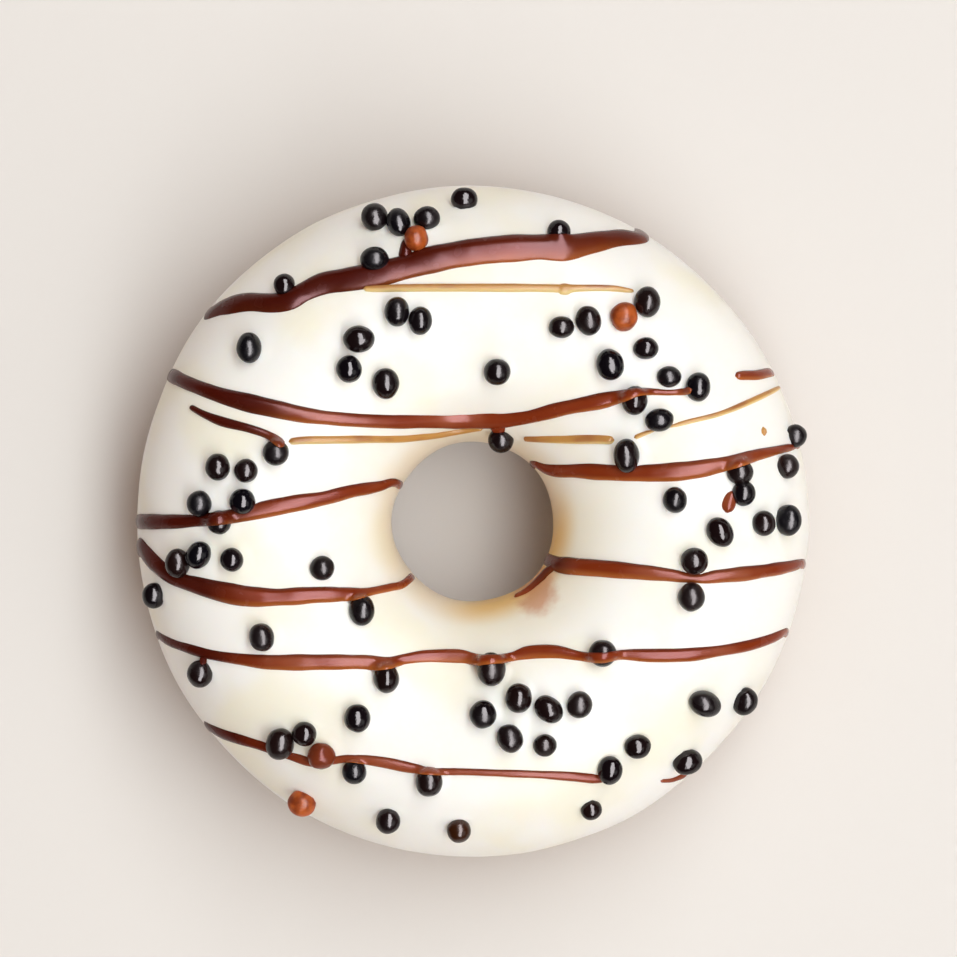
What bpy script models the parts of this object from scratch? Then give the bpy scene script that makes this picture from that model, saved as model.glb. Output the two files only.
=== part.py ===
"""A ring doughnut dipped in white icing, striped with chocolate and caramel, and scattered with crisp pearls.

The ring lies flat with its hole upright and its iced side up. Two solids make it: the fried dough, and the
icing together with the stripes and pearls that set in it.
"""

import math

import bmesh
import bpy
from mathutils import Matrix, Vector

MM = 0.001

# Section of the iced ring. A lift of 0 is the icing's skin, and other surfaces lie so far above or below it.
OUTER_RADIUS = 45.0 * MM
HOLE_RADIUS = 10.9 * MM
CROWN_HEIGHT = 30.6 * MM
WIDEST_HEIGHT = 14.5 * MM
BASE_CUT = 0.8 * MM  # how much of the round underside the flat foot takes away
SQUARENESS = 2.3  # exponent of the section's curve, where 2 is an ellipse
TUBE_RADIUS = (OUTER_RADIUS + HOLE_RADIUS) / 2
HALF_WIDTH = (OUTER_RADIUS - HOLE_RADIUS) / 2

# Icing
ICING_THICKNESS = 1.5 * MM
FIT_GAP = 0.3 * MM
LIP_NOSE = 0.6 * MM  # how far the rounded edge reaches past the end of the icing's two skins
OUTER_LIP = math.radians(-10.0)  # section angles, where 0 is the widest line and 90 degrees the crown
INNER_LIP = math.radians(190.0)

# Unevenness round the ring, each as (size, waves in a turn, phase in degrees)
OUTLINE_WAVES = [(0.12 * MM, 1, -150), (0.10 * MM, 3, -60), (0.06 * MM, 5, 20)]
CROWN_WAVES = [(0.35 * MM, 1, 40), (0.30 * MM, 2, 110), (0.18 * MM, 5, 0)]
OUTER_LIP_WAVES = [(math.radians(2.2), 3, 35), (math.radians(1.8), 7, 80), (math.radians(1.3), 12, 0)]
INNER_LIP_WAVES = [(math.radians(3.0), 2, 10), (math.radians(2.0), 5, 140)]

# Pearls
PEARL_RADIUS = 1.72 * MM
PEARL_SINK = 0.95 * MM
PEARL_SEGMENTS = 7
PEARL_RINGS = 4

# Stripes
STRIPE_LEAST_HEIGHT = 0.3 * MM
STRIPE_HEIGHT_SHARE = 0.30  # what each part of the width adds to the height
STRIPE_SINK = 0.7 * MM
STRIPE_STEP = 3.2 * MM
END_WIDTH_SHARE = 0.45
STRIPE_SECTION = [(-0.5, 0.3), (-0.26, 0.95), (0.26, 0.95), (0.5, 0.3)]  # share of the width, share of the height

# Facets
TURN_STEPS = 58
DOUGH_STEPS = 18
ICING_STEPS = 11

# Plan places, seen from above with the ring's centre at (0, 0), in millimetres
PEARLS = {
    "top": [(-1.2, 43.2), (-13.0, 40.9), (-10.0, 40.1), (-6.0, 40.5), (-13.2, 35.2), (-25.2, 31.7), (11.6, 38.9)],
    "upper_left": [(-29.9, 23.3), (-10.0, 28.0), (-7.0, 26.8), (-14.9, 24.2), (-16.5, 20.4), (-11.6, 18.5)],
    "upper_right": [
        (3.2, 20.0), (12.0, 26.0), (15.4, 26.9), (23.3, 29.4), (23.2, 23.2),
        (18.3, 21.1), (26.4, 19.3), (30.0, 18.1), (21.9, 16.6), (25.0, 13.6),
    ],
    "left": [
        (-34.2, 7.2), (-30.3, 6.8), (-26.4, 9.2), (-36.6, 2.3), (-30.9, 2.5), (-33.8, -0.1), (-36.9, -4.5),
        (-39.5, -5.5), (-32.2, -5.0), (-20.1, -6.1), (-42.6, -9.8), (-15.2, -11.7), (-28.3, -15.5), (-36.4, -20.2),
    ],
    "right": [
        (20.7, 9.0), (27.2, 3.0), (33.1, -1.3), (36.2, 3.9), (36.0, 7.0), (39.1, 0.0),
        (42.3, 0.2), (42.2, 7.5), (43.0, 11.5), (29.8, -5.2), (29.3, -10.0),
    ],
    "hole": [(3.6, 11.2)],
    "lower_left": [
        (-15.2, -26.2), (-25.5, -29.5), (-22.3, -28.3), (-20.0, -31.3), (-15.9, -33.4),
        (-11.6, -21.2), (-5.8, -35.0), (-11.5, -40.0), (-1.8, -41.3),
    ],
    "bottom": [(2.6, -19.8), (1.3, -25.8), (6.2, -23.8), (10.1, -25.2), (5.0, -28.8), (9.7, -29.9), (14.2, -24.6)],
    "lower_right": [
        (17.5, -17.4), (31.2, -24.4), (36.5, -24.0), (22.1, -30.1), (18.5, -33.1), (28.8, -32.3), (15.9, -38.6),
    ],
    "caramel": [(-7.3, 38.0), (20.2, 27.4), (-22.8, -38.2)],
}

# Each stripe is a list of (x, y, width) in plan. An end that says rim or hole runs on over that edge.
CHOCOLATE_STRIPES = [
    ["rim", (-35.6, 28.2, 1.9), (-30, 29.3, 2.6), (-25, 29.5, 2.4), (-21, 31.4, 2.4), (-15, 32.9, 2.9),
     (-8, 34.8, 3.0), (0, 36.2, 3.3), (9, 36.9, 3.1), (17, 37.9, 2.8), (22.5, 38.2, 2.2), "rim"],
    ["rim", (-40.2, 19.7, 1.5), (-35, 17.6, 1.8), (-29, 15.8, 2.2), (-22, 14.3, 1.9), (-14, 13.6, 1.8),
     (-5, 13.2, 1.7), (3, 13.6, 1.9), (10, 14.7, 1.9), (17, 16.1, 1.9), (23, 17.2, 1.3), (28.6, 17.6, 0.9)],
    [(-37.6, 15.3, 0.9), (-34, 13.7, 1.1), (-30, 12.5, 1.1), (-26.6, 10.9, 1.0)],
    ["rim", (-44, -0.2, 1.8), (-38, -0.1, 1.8), (-33, 0.6, 1.7), (-26, 1.9, 2.0), (-19, 3.3, 1.9),
     (-13.5, 4.6, 1.5), (-10.6, 5.3, 1.0), "hole"],
    ["hole", (8.9, 7.5, 1.2), (13, 6.8, 1.7), (19, 6.6, 1.8), (26, 6.7, 1.9), (32, 7.4, 1.8),
     (37.5, 8.7, 1.4), (43, 10.0, 1.2), "rim"],
    ["rim", (-44.2, -3.6, 1.8), (-41.2, -6.6, 2.2), (-37.5, -8.7, 2.2), (-31, -9.9, 2.3), (-24, -10.1, 2.1),
     (-18, -9.6, 1.8), (-13, -9.0, 1.2), (-9.2, -8.2, 0.9), "hole"],
    ["rim", (44, -5.8, 1.4), (37, -6.9, 1.6), (30, -7.6, 1.7), (22, -6.7, 1.8), (15, -6.0, 2.0),
     (11.2, -5.4, 1.9), (9.0, -6.8, 1.5), (7.5, -8.3, 1.3), (5.6, -9.6, 0.9)],
    ["rim", (-42.2, -15.5, 1.1), (-37, -17.5, 1.2), (-30, -18.5, 1.6), (-23, -18.9, 2.0), (-13, -18.9, 1.8),
     (-7.5, -18.2, 1.5), (-2, -17.9, 1.5), (4, -18.2, 1.3), (10, -17.5, 1.7), (18, -18.1, 1.5),
     (27, -17.9, 1.8), (34, -17.2, 1.6), (41.9, -14.9, 1.3), "rim"],
    ["rim", (-36.0, -26.6, 1.5), (-31, -29.3, 1.4), (-25, -30.8, 1.1), (-19, -31.8, 1.3), (-12, -32.2, 1.2),
     (-5, -33.3, 1.0), (5, -33.8, 0.9), (12, -34.2, 1.0), (17.5, -34.6, 1.1)],
    ["rim", (40.2, 19.9, 1.1), (37.6, 19.6, 1.2), (35.3, 19.4, 1.0)],
]
CARAMEL_STRIPES = [
    [(-12, 31.3, 0.6), (-2, 31.4, 0.8), (9, 31.4, 0.8), (19.8, 31.2, 0.6)],
    [(-24, 10.9, 0.8), (-16, 11.0, 0.9), (-9, 11.3, 0.8), (-2.5, 11.9, 0.6)],
    [(6.8, 11.1, 0.7), (13, 11.1, 0.9), (18.8, 11.1, 0.9)],
    [(28.2, 13.4, 0.6), (33, 14.5, 0.7), (37.5, 16.2, 0.7), (40.8, 17.8, 0.6), "rim"],
]


def waves(turn, parts):
    """The sum of these waves at an angle round the ring."""
    return sum(size * math.cos(count * turn + math.radians(phase)) for size, count, phase in parts)


def rounded(value):
    """A cosine or sine bent towards a square section."""
    return math.copysign(abs(value) ** (2 / SQUARENESS), value)


def half_width(turn, lift):
    return HALF_WIDTH + waves(turn, OUTLINE_WAVES) + lift


def ring_point(turn, tilt, lift=0.0):
    """The place at an angle round the ring and an angle round its section, so far above the icing's skin."""
    radius = TUBE_RADIUS + half_width(turn, lift) * rounded(math.cos(tilt))
    if math.sin(tilt) >= 0:
        half_height = CROWN_HEIGHT - WIDEST_HEIGHT + waves(turn, CROWN_WAVES) + lift
    else:
        half_height = WIDEST_HEIGHT + BASE_CUT
    height = max(0.0, WIDEST_HEIGHT + half_height * rounded(math.sin(tilt)))
    return Vector((radius * math.cos(turn), radius * math.sin(turn), height))


def ring_angles(x, y, lift=0.0):
    """The two ring angles of a place seen from above, on the surface so far above the icing's skin."""
    turn = math.atan2(y, x)
    across = (math.hypot(x, y) - TUBE_RADIUS) / half_width(turn, lift)
    across = max(-1.0, min(1.0, across))
    return turn, math.acos(math.copysign(abs(across) ** (SQUARENESS / 2), across))


def outward(turn, tilt):
    """The direction in which the skin faces."""
    return (ring_point(turn, tilt, MM) - ring_point(turn, tilt)).normalized()


def plain_material(name, colour, roughness):
    material = bpy.data.materials.new(name)
    material.use_nodes = True
    shader = material.node_tree.nodes["Principled BSDF"]
    shader.inputs["Base Color"].default_value = (*colour, 1.0)
    shader.inputs["Roughness"].default_value = roughness
    shader.inputs["Metallic"].default_value = 0.0
    return material


def object_from(name, bm, material):
    """A named object of a finished bmesh, with flat faces turned outwards and shaded smooth."""
    bmesh.ops.triangulate(bm, faces=bm.faces)
    bmesh.ops.recalc_face_normals(bm, faces=bm.faces)
    mesh = bpy.data.meshes.new(name)
    bm.to_mesh(mesh)
    bm.free()
    mesh.materials.append(material)
    mesh.shade_smooth()
    mesh.set_sharp_from_angle(angle=math.radians(50))
    obj = bpy.data.objects.new(name, mesh)
    bpy.context.scene.collection.objects.link(obj)
    return obj


def skin_between(bm, sections, closed):
    """Faces between closed sections of equal length. Closed joins the last to the first, and open caps both ends."""
    loops = [[bm.verts.new(point) for point in section] for section in sections]
    pairs = list(zip(loops, loops[1:]))
    if closed:
        pairs.append((loops[-1], loops[0]))
    else:
        bm.faces.new(loops[0])
        bm.faces.new(loops[-1])
    for near, far in pairs:
        for i in range(len(near)):
            j = (i + 1) % len(near)
            bm.faces.new((near[i], near[j], far[j], far[i]))


def make_dough(material):
    """The fried ring, with its flat foot on the table."""
    lift = -(ICING_THICKNESS + FIT_GAP)
    bm = bmesh.new()
    sections = [
        [ring_point(math.tau * i / TURN_STEPS, math.tau * j / DOUGH_STEPS, lift) for j in range(DOUGH_STEPS)]
        for i in range(TURN_STEPS)
    ]
    skin_between(bm, sections, closed=True)
    return object_from("dough_ring", bm, material)


def icing_section(turn):
    """The icing cut across at one angle: its upper skin from lip to lip, then its lower skin back."""
    low = OUTER_LIP + waves(turn, OUTER_LIP_WAVES)
    high = INNER_LIP + waves(turn, INNER_LIP_WAVES)
    tilts = [low + (high - low) * j / ICING_STEPS for j in range(ICING_STEPS + 1)]
    nose = LIP_NOSE / HALF_WIDTH
    middle = -ICING_THICKNESS / 2
    upper = [ring_point(turn, tilt) for tilt in tilts]
    lower = [ring_point(turn, tilt, -ICING_THICKNESS) for tilt in reversed(tilts)]
    return [*upper, ring_point(turn, high + nose, middle), *lower, ring_point(turn, low - nose, middle)]


def make_icing(material):
    """The cap of white icing, before its toppings are set in it."""
    bm = bmesh.new()
    sections = [icing_section(math.tau * i / TURN_STEPS) for i in range(TURN_STEPS)]
    skin_between(bm, sections, closed=True)
    return object_from("white_icing", bm, material)


def make_pearl(name, x, y, material):
    """A crisp pearl that has sunk a little into the icing."""
    lift = PEARL_RADIUS - PEARL_SINK
    turn, tilt = ring_angles(x, y, lift)
    stand = outward(turn, tilt).to_track_quat("Z", "Y").to_matrix().to_4x4()
    place = Matrix.Translation(ring_point(turn, tilt, lift)) @ stand
    bm = bmesh.new()
    bmesh.ops.create_uvsphere(
        bm, u_segments=PEARL_SEGMENTS, v_segments=PEARL_RINGS, radius=PEARL_RADIUS, matrix=place
    )
    return object_from(name, bm, material)


def smooth_between(points, i, share):
    """A place on the smooth curve through these points, a share of the way from point i to the next."""
    before, start, end, after = (Vector(points[max(0, min(len(points) - 1, i + k))]) for k in (-1, 0, 1, 2))
    bend = 2 * before - 5 * start + 4 * end - after
    turn_back = 3 * start - before - 3 * end + after
    return (2 * start + (end - before) * share + bend * share**2 + turn_back * share**3) / 2


def over_edge(x, y, edge):
    """Ring angles of the short run past the rim or into the hole, from the widest line down."""
    turn = math.atan2(y, x)
    steps = (math.radians(2.5), math.radians(6.0))
    return [(turn, -step if edge == "rim" else math.pi + step) for step in steps]


def stripe_route(stripe):
    """Ring angles and widths along a stripe, a step apart."""
    plan = [Vector((point[0] * MM, point[1] * MM, point[2] * MM)) for point in stripe if not isinstance(point, str)]
    route = []
    for i in range(len(plan) - 1):
        steps = max(1, round((plan[i + 1].xy - plan[i].xy).length / STRIPE_STEP))
        route += [smooth_between(plan, i, k / steps) for k in range(steps)]
    route.append(plan[-1])
    angles = [(*ring_angles(p.x, p.y), p.z) for p in route]
    if isinstance(stripe[0], str):
        run = over_edge(plan[0].x, plan[0].y, stripe[0])
        angles = [(turn, tilt, plan[0].z) for turn, tilt in reversed(run)] + angles
    if isinstance(stripe[-1], str):
        run = over_edge(plan[-1].x, plan[-1].y, stripe[-1])
        angles += [(turn, tilt, plan[-1].z) for turn, tilt in run]
    return angles


def make_stripe(name, stripe, material):
    """A set thread of chocolate or caramel, low and round-backed, with its foot in the icing."""
    route = stripe_route(stripe)
    places = [ring_point(turn, tilt) for turn, tilt, _ in route]
    sections = []
    for i, (turn, tilt, width) in enumerate(route):
        along = places[min(i + 1, len(places) - 1)] - places[max(i - 1, 0)]
        up = outward(turn, tilt)
        side = along.cross(up).normalized()
        if i in (0, len(route) - 1):
            width *= END_WIDTH_SHARE
        height = STRIPE_LEAST_HEIGHT + width * STRIPE_HEIGHT_SHARE
        back = [places[i] + side * across * width + up * rise * height for across, rise in STRIPE_SECTION]
        foot = [places[i] + side * across * width - up * STRIPE_SINK for across in (0.5, -0.5)]
        sections.append(back + foot)
    bm = bmesh.new()
    skin_between(bm, sections, closed=False)
    return object_from(name, bm, material)


def fuse_toppings(icing, toppings):
    """Joins the stripes and pearls to the icing they set in, as one solid, and removes the loose ones."""
    group = bpy.data.collections.new("toppings")
    bpy.context.scene.collection.children.link(group)
    for obj in toppings:
        bpy.context.scene.collection.objects.unlink(obj)
        group.objects.link(obj)
    union = icing.modifiers.new("set_toppings", "BOOLEAN")
    union.operation = "UNION"
    union.operand_type = "COLLECTION"
    union.collection = group
    union.solver = "EXACT"
    union.material_mode = "TRANSFER"
    bpy.context.view_layer.objects.active = icing
    bpy.ops.object.modifier_apply(modifier=union.name)
    for obj in toppings:
        bpy.data.objects.remove(obj)
    bpy.data.collections.remove(group)


def main():
    for obj in list(bpy.data.objects):
        bpy.data.objects.remove(obj)
    dough = plain_material("fried_dough", (0.62, 0.34, 0.13), 0.65)
    white = plain_material("white_icing", (0.93, 0.90, 0.83), 0.30)
    chocolate = plain_material("chocolate_stripe", (0.20, 0.055, 0.025), 0.28)
    caramel = plain_material("caramel_stripe", (0.72, 0.40, 0.12), 0.25)
    dark = plain_material("dark_pearl", (0.016, 0.013, 0.014), 0.22)
    amber = plain_material("caramel_pearl", (0.55, 0.20, 0.08), 0.28)
    make_dough(dough)
    icing = make_icing(white)
    toppings = []
    for area, places in PEARLS.items():
        material = amber if area == "caramel" else dark
        toppings += [make_pearl(f"pearl_{area}_{i}", x * MM, y * MM, material) for i, (x, y) in enumerate(places)]
    toppings += [make_stripe(f"chocolate_{i}", stripe, chocolate) for i, stripe in enumerate(CHOCOLATE_STRIPES)]
    toppings += [make_stripe(f"caramel_{i}", stripe, caramel) for i, stripe in enumerate(CARAMEL_STRIPES)]
    fuse_toppings(icing, toppings)


main()
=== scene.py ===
import math
import random

import bpy
import numpy as np
from mathutils import Matrix, Vector, noise


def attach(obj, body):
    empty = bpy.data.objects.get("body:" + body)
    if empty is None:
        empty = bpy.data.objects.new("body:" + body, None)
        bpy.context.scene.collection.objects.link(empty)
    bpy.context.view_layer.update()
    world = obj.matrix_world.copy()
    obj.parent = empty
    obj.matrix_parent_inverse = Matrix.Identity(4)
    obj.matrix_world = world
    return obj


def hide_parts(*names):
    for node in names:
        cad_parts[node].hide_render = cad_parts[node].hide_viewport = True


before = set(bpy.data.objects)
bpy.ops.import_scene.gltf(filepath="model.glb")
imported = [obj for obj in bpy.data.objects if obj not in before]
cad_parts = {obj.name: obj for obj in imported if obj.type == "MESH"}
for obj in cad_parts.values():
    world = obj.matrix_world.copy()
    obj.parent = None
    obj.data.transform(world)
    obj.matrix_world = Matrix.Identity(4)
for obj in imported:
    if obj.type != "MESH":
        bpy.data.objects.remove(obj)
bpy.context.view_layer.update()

# The fried ring. A loop of yeast dough, fried on one side and then the other, so its crust is golden brown
# with a paler line round the waist. It lies on the flattened lowest line of its underside.
MM = 0.001
OUTER_RADIUS = 45.0 * MM  # of the iced ring, whose skin the other surfaces lie above or below
HOLE_RADIUS = 10.9 * MM
CROWN_HEIGHT = 30.6 * MM
WIDEST_HEIGHT = 14.5 * MM
FOOT_DEPTH = 15.3 * MM  # from the widest line to the round underside, before the table flattens it
SQUARENESS = 2.3  # exponent of the section's curve, where 2 is an ellipse
TUBE_RADIUS = (OUTER_RADIUS + HOLE_RADIUS) / 2
HALF_WIDTH = (OUTER_RADIUS - HOLE_RADIUS) / 2
# The size of each wave round the ring, how many there are in a turn, and where they start, in degrees.
OUTLINE_WAVES = [(0.12 * MM, 1, -150), (0.10 * MM, 3, -60), (0.06 * MM, 5, 20)]
CROWN_WAVES = [(0.35 * MM, 1, 40), (0.30 * MM, 2, 110), (0.18 * MM, 5, 0)]
DOUGH_DEPTH = 1.8 * MM  # of the crust below the icing's skin
DOUGH_COLUMNS = 420
DOUGH_ROWS = 120
CRUST_SWELL = 0.35 * MM
CRUST_SWELL_SIZE = 11.0 * MM
CRUST_WRINKLE = 0.10 * MM
CRUST_WRINKLE_SIZE = 2.6 * MM
CRUST_FADE = 3  # how quickly this relief sets in below the waist
PORE_SIZE = 0.5 * MM
FLECK_SIZE = 1.1 * MM
BAND_WANDER = 7.0 * MM  # how far the edges of the colour bands wander up and down
BAND_WANDER_SIZE = 5.0 * MM
PALE_BAND = (11.0 * MM, 15.5 * MM)  # heights between which golden turns to pale dough
BROWN_BAND = (9.5 * MM, 3.0 * MM)  # heights between which golden turns to deep brown
CRUST_ROUGHNESS = (0.45, 0.65)
NOISE_SPAN = (0.3, 0.7)  # nearly all values of a noise lie between these
DEEP_BROWN = (0.30, 0.115, 0.034, 1)
GOLDEN = (0.56, 0.27, 0.085, 1)
PALE_DOUGH = (0.82, 0.62, 0.34, 1)


def waves(turn, parts):
    """The sum of these waves at angles round the ring."""
    return sum(size * np.cos(count * turn + math.radians(phase)) for size, count, phase in parts)


def squared(value):
    """A cosine or sine bent towards a square section."""
    return np.sign(value) * np.abs(value) ** (2 / SQUARENESS)


def unsquared(value):
    """The cosine or sine that squared bends to this value."""
    return np.sign(value) * np.abs(value) ** (SQUARENESS / 2)


def ring_places(turn, tilt, lift=0.0):
    """Places at angles round the ring and round its section, so far above the icing's skin."""
    rise = squared(np.sin(tilt))
    crown = CROWN_HEIGHT - WIDEST_HEIGHT + waves(turn, CROWN_WAVES) + lift
    radius = TUBE_RADIUS + (HALF_WIDTH + waves(turn, OUTLINE_WAVES) + lift) * squared(np.cos(tilt))
    height = WIDEST_HEIGHT + np.where(rise > 0, crown, FOOT_DEPTH) * rise
    return np.stack([radius * np.cos(turn), radius * np.sin(turn), np.maximum(height, 0)], axis=-1)


def mesh_places(mesh):
    """The places of a mesh's points, one row each."""
    places = np.empty(len(mesh.vertices) * 3)
    mesh.vertices.foreach_get("co", places)
    return places.reshape(-1, 3)


def place_mesh(mesh, places):
    """Moves a mesh's points to these places."""
    mesh.vertices.foreach_set("co", places.ravel())
    mesh.update()


def noise_at(places, size, offset=0.0):
    """Smooth noise from -1 to 1 at these places, with lumps of about this size."""
    return np.array([noise.noise(Vector(place) / size + Vector((offset, 0, 0))) for place in places])


def new_ring(name, columns, rows):
    """A torus of columns round the ring and rows round its section, with each point's angle and row."""
    bpy.ops.object.select_all(action="DESELECT")
    bpy.ops.mesh.primitive_torus_add(
        major_segments=columns, minor_segments=rows, major_radius=TUBE_RADIUS, minor_radius=HALF_WIDTH / 2
    )
    ring = bpy.context.object
    ring.name = name
    x, y, z = mesh_places(ring.data).T
    turn = np.arctan2(y, x)
    row = np.round(np.arctan2(z, np.hypot(x, y) - TUBE_RADIUS) / math.tau * rows).astype(int) % rows
    bpy.ops.object.shade_smooth()
    return ring, turn, row


def new_finish(name):
    """A material with its shader and a function that adds a node with these settings."""
    material = bpy.data.materials.new(name)
    material.use_nodes = True
    tree = material.node_tree

    def add(kind, **settings):
        node = tree.nodes.new("ShaderNode" + kind)
        for key, value in settings.items():
            setattr(node, key, value)
        return node

    return material, tree.nodes["Principled BSDF"], add, tree.links.new


def object_noise(add, link, size, detail=2.0, roughness=0.5):
    """The factor of a noise with lumps of this size on the piece."""
    coordinates = add("TexCoord")
    pattern = add("TexNoise")
    pattern.inputs["Scale"].default_value = 1 / size
    pattern.inputs["Detail"].default_value = detail
    pattern.inputs["Roughness"].default_value = roughness
    link(coordinates.outputs["Object"], pattern.inputs["Vector"])
    return pattern.outputs["Fac"]


def fill(link, sockets, values):
    """Sets each socket to a plain number or colour, or links an output to it."""
    for socket, value in zip(sockets, values):
        if isinstance(value, (tuple, float)):
            socket.default_value = value
        else:
            link(value, socket)


def mixed(add, link, factor, first, second):
    """A colour between two others, each an output or a plain colour."""
    mix = add("Mix", data_type="RGBA")
    fill(link, (mix.inputs[0], mix.inputs[6], mix.inputs[7]), (factor, first, second))
    return mix.outputs[2]


def worked_out(add, link, operation, *values):
    """What a Math node makes of these outputs and plain numbers."""
    step = add("Math", operation=operation)
    fill(link, step.inputs, values)
    return step.outputs["Value"]


def remapped(add, link, value, low, high, to_low=0.0, to_high=1.0):
    """A value turned from one range to another, and kept inside it."""
    step = add("MapRange", interpolation_type="SMOOTHSTEP")
    for socket, number in zip(("From Min", "From Max", "To Min", "To Max"), (low, high, to_low, to_high)):
        step.inputs[socket].default_value = number
    link(value, step.inputs["Value"])
    return step.outputs["Result"]


def add_bumps(add, link, shader, layers):
    """Relief on a shader, from (height output, distance, strength) layers."""
    normal = None
    for height, distance, strength in layers:
        bump = add("Bump")
        bump.inputs["Distance"].default_value = distance
        bump.inputs["Strength"].default_value = strength
        link(height, bump.inputs["Height"])
        if normal:
            link(normal, bump.inputs["Normal"])
        normal = bump.outputs["Normal"]
    link(normal, shader.inputs["Normal"])


dough, turn, row = new_ring("fried_dough", DOUGH_COLUMNS, DOUGH_ROWS)
tilt = row * math.tau / DOUGH_ROWS
places = ring_places(turn, tilt, -DOUGH_DEPTH)
swell = CRUST_SWELL * noise_at(places, CRUST_SWELL_SIZE)
swell += CRUST_WRINKLE * noise_at(places, CRUST_WRINKLE_SIZE, offset=5)
below = np.clip(-np.sin(tilt) * CRUST_FADE, 0, 1)
places = ring_places(turn, tilt, -DOUGH_DEPTH + swell * below)
places[:, 2] = np.maximum(0, places[:, 2] + swell * below * (places[:, 2] < WIDEST_HEIGHT))
place_mesh(dough.data, places)

crust, shader, add, link = new_finish("fried_crust")
height = add("SeparateXYZ")
link(add("TexCoord").outputs["Object"], height.inputs["Vector"])
wander = object_noise(add, link, BAND_WANDER_SIZE, 5, 0.6)
ragged = worked_out(add, link, "MULTIPLY_ADD", wander, BAND_WANDER, height.outputs["Z"])
foot = remapped(add, link, ragged, *BROWN_BAND, 0.0, 0.8)
browned = mixed(add, link, foot, GOLDEN, DEEP_BROWN)
fleck = remapped(add, link, object_noise(add, link, FLECK_SIZE, 5, 0.65), 0.50, 0.72, 0.0, 0.55)
flecked = mixed(add, link, fleck, browned, DEEP_BROWN)
waist = remapped(add, link, ragged, *PALE_BAND)
link(mixed(add, link, waist, flecked, PALE_DOUGH), shader.inputs["Base Color"])
dullness = remapped(add, link, object_noise(add, link, 3 * MM, 3), *NOISE_SPAN, *CRUST_ROUGHNESS)
link(dullness, shader.inputs["Roughness"])
add_bumps(add, link, shader, [
    (object_noise(add, link, 2.4 * MM, 5, 0.6), 0.8 * MM, 0.5),
    (object_noise(add, link, PORE_SIZE, 3), 0.2 * MM, 0.6),
])
dough.data.materials.append(crust)
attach(dough, "root")
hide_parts("dough_ring")


# The icing. White chocolate that the ring was dipped in, face down, and that has set: smooth, softly
# glossy, thickest at the bead where it stopped running, and thin enough on the wall of the hole for the
# crust to tint it. Towards the lower right of the hole, the tan and a warmer cream are strengthened as
# painted shade, where the wall faces away from the light.
ICING_THICKNESS = 1.9 * MM  # down to just inside the crust
ICING_COLUMNS = 600
SKIN_ROWS = 96
NOSE_ROWS = 9
BACK_ROWS = 24
ICING_ROWS = SKIN_ROWS + NOSE_ROWS + BACK_ROWS + NOSE_ROWS
NOSE = math.radians(3.0)  # how far the rounded edge reaches past the end of the icing's two skins
OUTER_LIP = math.radians(-10.0)
INNER_LIP = math.radians(190.0)
OUTER_LIP_WAVES = [(math.radians(2.2), 3, 35), (math.radians(1.8), 7, 80), (math.radians(1.3), 12, 0)]
INNER_LIP_WAVES = [(math.radians(3.0), 2, 10), (math.radians(2.0), 5, 140)]
BEAD = 0.28 * MM
BEAD_WIDTH = math.radians(7.0)
ICING_SWELL = 0.16 * MM
ICING_SWELL_SIZE = 13.0 * MM
CREAM = (0.930, 0.912, 0.865, 1)
WARM_CREAM = (0.915, 0.875, 0.735, 1)
WARM_PATCH_SIZE = 15 * MM
WARM_SLOPE = (24 * MM, 13 * MM)  # distances from the axis over which the cream warms towards the hole, most on the shaded side, as painted shade
# The tan on the wall of the hole: partly the crust seen through thin icing, partly painted shade.
CRUST_AND_SHADE_TINT = (0.86, 0.55, 0.16, 1)
THIN_WALL = (14.6 * MM, 11.1 * MM)  # distances from the axis over which the icing turns tan, from the crust and from painted shade
SHADED_SIDE = (0.7, -0.72, 0)  # the side of the hole whose wall faces away from the light, where painted shade adds to the tan and warmth
SHADED_SIDE_REACH = (4.0 * MM, 10.5 * MM)  # how far to that side the tint goes from its least to its most
SHADED_SIDE_SHARES = (0.3, 0.95)
ROSE_STAIN = (0.62, 0.27, 0.13, 1)
SMEAR_PLACE = (8.5 * MM, -9.1 * MM, 0)  # where chocolate ran down the wall of the hole
SMEAR_REACH = (6.0 * MM, 3.4 * MM)  # distances from there over which the stain sets in
SMEAR_FEATHER = 4.0 * MM  # how far its edge wanders
ICING_ROUGHNESS = (0.32, 0.42)


def distance_from(add, link, position, place):
    """How far a position on the piece, given as an output, lies from this place."""
    gap = add("VectorMath", operation="DISTANCE")
    fill(link, gap.inputs, (position, place))
    return gap.outputs["Value"]


icing, turn, row = new_ring("white_icing", ICING_COLUMNS, ICING_ROWS)
nose_turn = np.linspace(0, math.pi, NOSE_ROWS + 2)[1:-1]
share = np.concatenate([
    np.linspace(0, 1, SKIN_ROWS), np.ones(NOSE_ROWS), np.linspace(1, 0, BACK_ROWS), np.zeros(NOSE_ROWS)
])
past_end = np.concatenate([
    np.zeros(SKIN_ROWS), NOSE * np.sin(nose_turn), np.zeros(BACK_ROWS), -NOSE * np.sin(nose_turn)
])
depth = ICING_THICKNESS / 2 * np.concatenate([
    np.zeros(SKIN_ROWS), 1 - np.cos(nose_turn), np.full(BACK_ROWS, 2.0), 1 + np.cos(nose_turn)
])
low = OUTER_LIP + waves(turn, OUTER_LIP_WAVES)
high = INNER_LIP + waves(turn, INNER_LIP_WAVES)
tilt = low + (high - low) * share[row] + past_end[row]
bead = BEAD * (np.exp(-(((tilt - low) / BEAD_WIDTH) ** 2)) + np.exp(-(((tilt - high) / BEAD_WIDTH) ** 2)))
swell = ICING_SWELL * noise_at(ring_places(turn, tilt), ICING_SWELL_SIZE)
outer_face = 1 - depth[row] / ICING_THICKNESS
icing_places = ring_places(turn, tilt, -depth[row] + (bead + swell) * outer_face)
place_mesh(icing.data, icing_places)

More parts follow.
